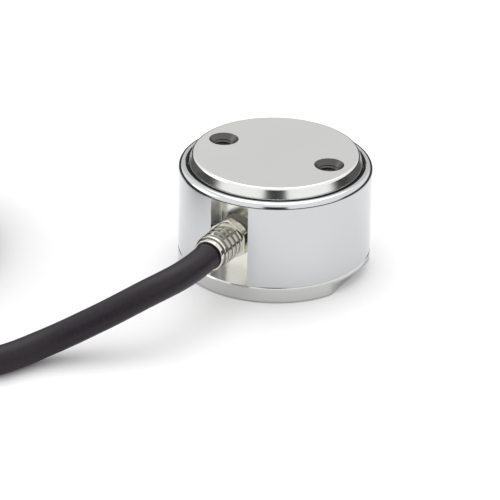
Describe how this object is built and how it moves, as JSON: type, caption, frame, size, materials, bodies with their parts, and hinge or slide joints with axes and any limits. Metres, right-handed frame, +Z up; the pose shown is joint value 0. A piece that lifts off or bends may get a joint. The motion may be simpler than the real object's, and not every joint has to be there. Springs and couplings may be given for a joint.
{
  "type": "column load cell",
  "caption": "Low round compression load cell: gauged column in a steel housing, load plate with tapped holes, crimped cable gland and coiled signal cable.",
  "frame": {"origin": "on the axis of the housing, in the plane of the base's underside", "axes": "+Z up along the load axis; the tapped holes and the wrench flats lie along X; the cable leaves towards -Y"},
  "size_m": [0.127, 0.0907, 0.022],
  "materials": {
    "base_steel": "fine turned stainless steel",
    "housing_steel": "satin turned stainless steel with a bright rim",
    "plate_steel": "ground stainless steel",
    "black_rubber": "matt black rubber",
    "grey_rubber": "matt grey rubber",
    "sealant": "pale cured sealant",
    "gauge_film": "amber film with a metal foil grid",
    "strip_film": "amber film with solder pads",
    "wire_enamel": "enamelled copper",
    "board_green": "solder mask on glass laminate",
    "resistor_black": "ceramic chips with tinned ends",
    "gland_nickel": "bright nickel plate",
    "core_red": "coloured insulation",
    "core_black": "coloured insulation",
    "core_green": "coloured insulation",
    "core_white": "coloured insulation",
    "cable_jacket": "smooth near-black jacket",
    "tie_plastic": "moulded nylon",
    "sleeve_black": "shrunk sleeve",
    "shield_braid": "tinned copper braid"
  },
  "bodies": {
    "root": {"base_plate": "base_steel", "base_seal_ring": "black_rubber", "housing_ring": "housing_steel", "spring_column": "plate_steel", "gap_seal_ring": "black_rubber", "gauge_front": "gauge_film", "gauge_right": "gauge_film", "gauge_back": "gauge_film", "gauge_left": "gauge_film", "terminal_strips": "strip_film", "gauge_wires": "wire_enamel", "bridge_board": "board_green", "trim_resistors": "resistor_black", "gland_body": "gland_nickel", "gland_washer": "grey_rubber", "core_grommet": "grey_rubber", "chamber_plug": "sealant", "inner_core_red": "core_red", "inner_core_black": "core_black", "inner_core_green": "core_green", "inner_core_white": "core_white", "cable_run": "cable_jacket", "cable_coil": "cable_jacket", "coil_tie": "tie_plastic", "end_sleeve": "sleeve_black", "lead_red": "core_red", "lead_black": "core_black", "lead_green": "core_green", "lead_white": "core_white", "lead_shield": "shield_braid"}
  },
  "joints": []
}
